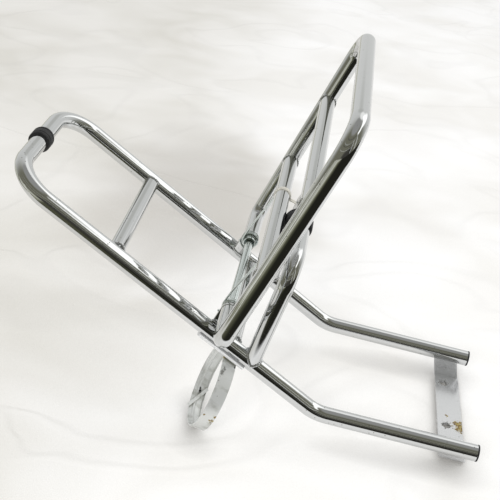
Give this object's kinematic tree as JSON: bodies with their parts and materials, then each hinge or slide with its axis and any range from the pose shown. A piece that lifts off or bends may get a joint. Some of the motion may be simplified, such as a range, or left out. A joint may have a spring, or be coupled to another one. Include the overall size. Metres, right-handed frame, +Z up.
{
  "type": "motorcycle luggage rack",
  "caption": "Tubular rear rack with a backrest bow and a fold-up carrier that rests on a buffered support bow, bolted on by its end plate.",
  "frame": {"origin": "midway between the two bolt holes, on the end plate's mounting face", "axes": "+Y out of the end plate's mounting face, towards the machine; +Z up along the lower legs; +X to the side, so the carrier reaches out along -Y"},
  "size_m": [0.264, 0.3503, 0.472],
  "materials": {
    "chrome": "polished chrome with light wear",
    "zinc": "dull zinc plate",
    "rubber": "satin black rubber",
    "strap": "cream tape"
  },
  "bodies": {
    "frame": {"main_frame_tube": "chrome", "upper_cross_brace": "chrome", "lower_cross_brace": "chrome", "support_bow": "chrome", "end_plate": "chrome", "hinge_ear_left": "chrome", "hinge_ear_right": "chrome", "leg_saddle": "chrome", "ring_bracket": "zinc", "ring_tongue": "zinc", "bow_buffer": "rubber", "support_buffer": "rubber", "end_plug_left": "rubber", "end_plug_right": "rubber"},
    "carrier": {"carrier_loop": "chrome", "outer_slat": "chrome", "inner_slat": "chrome", "pivot_bush_left": "zinc", "pivot_bush_right": "zinc", "hinge_rod": "zinc", "torsion_spring_left": "zinc", "torsion_spring_right": "zinc", "slat_strap": "strap"}
  },
  "joints": [
    {"name": "carrier_fold", "type": "hinge", "parent": "frame", "child": "carrier", "pos_m": [-0.0155, -0.10593, 0.23385], "axis": [-1, 0, 0], "range_deg": [0, 78.8], "stiffness_Nm_per_rad": 0.12, "springref_deg": -28.65}
  ]
}
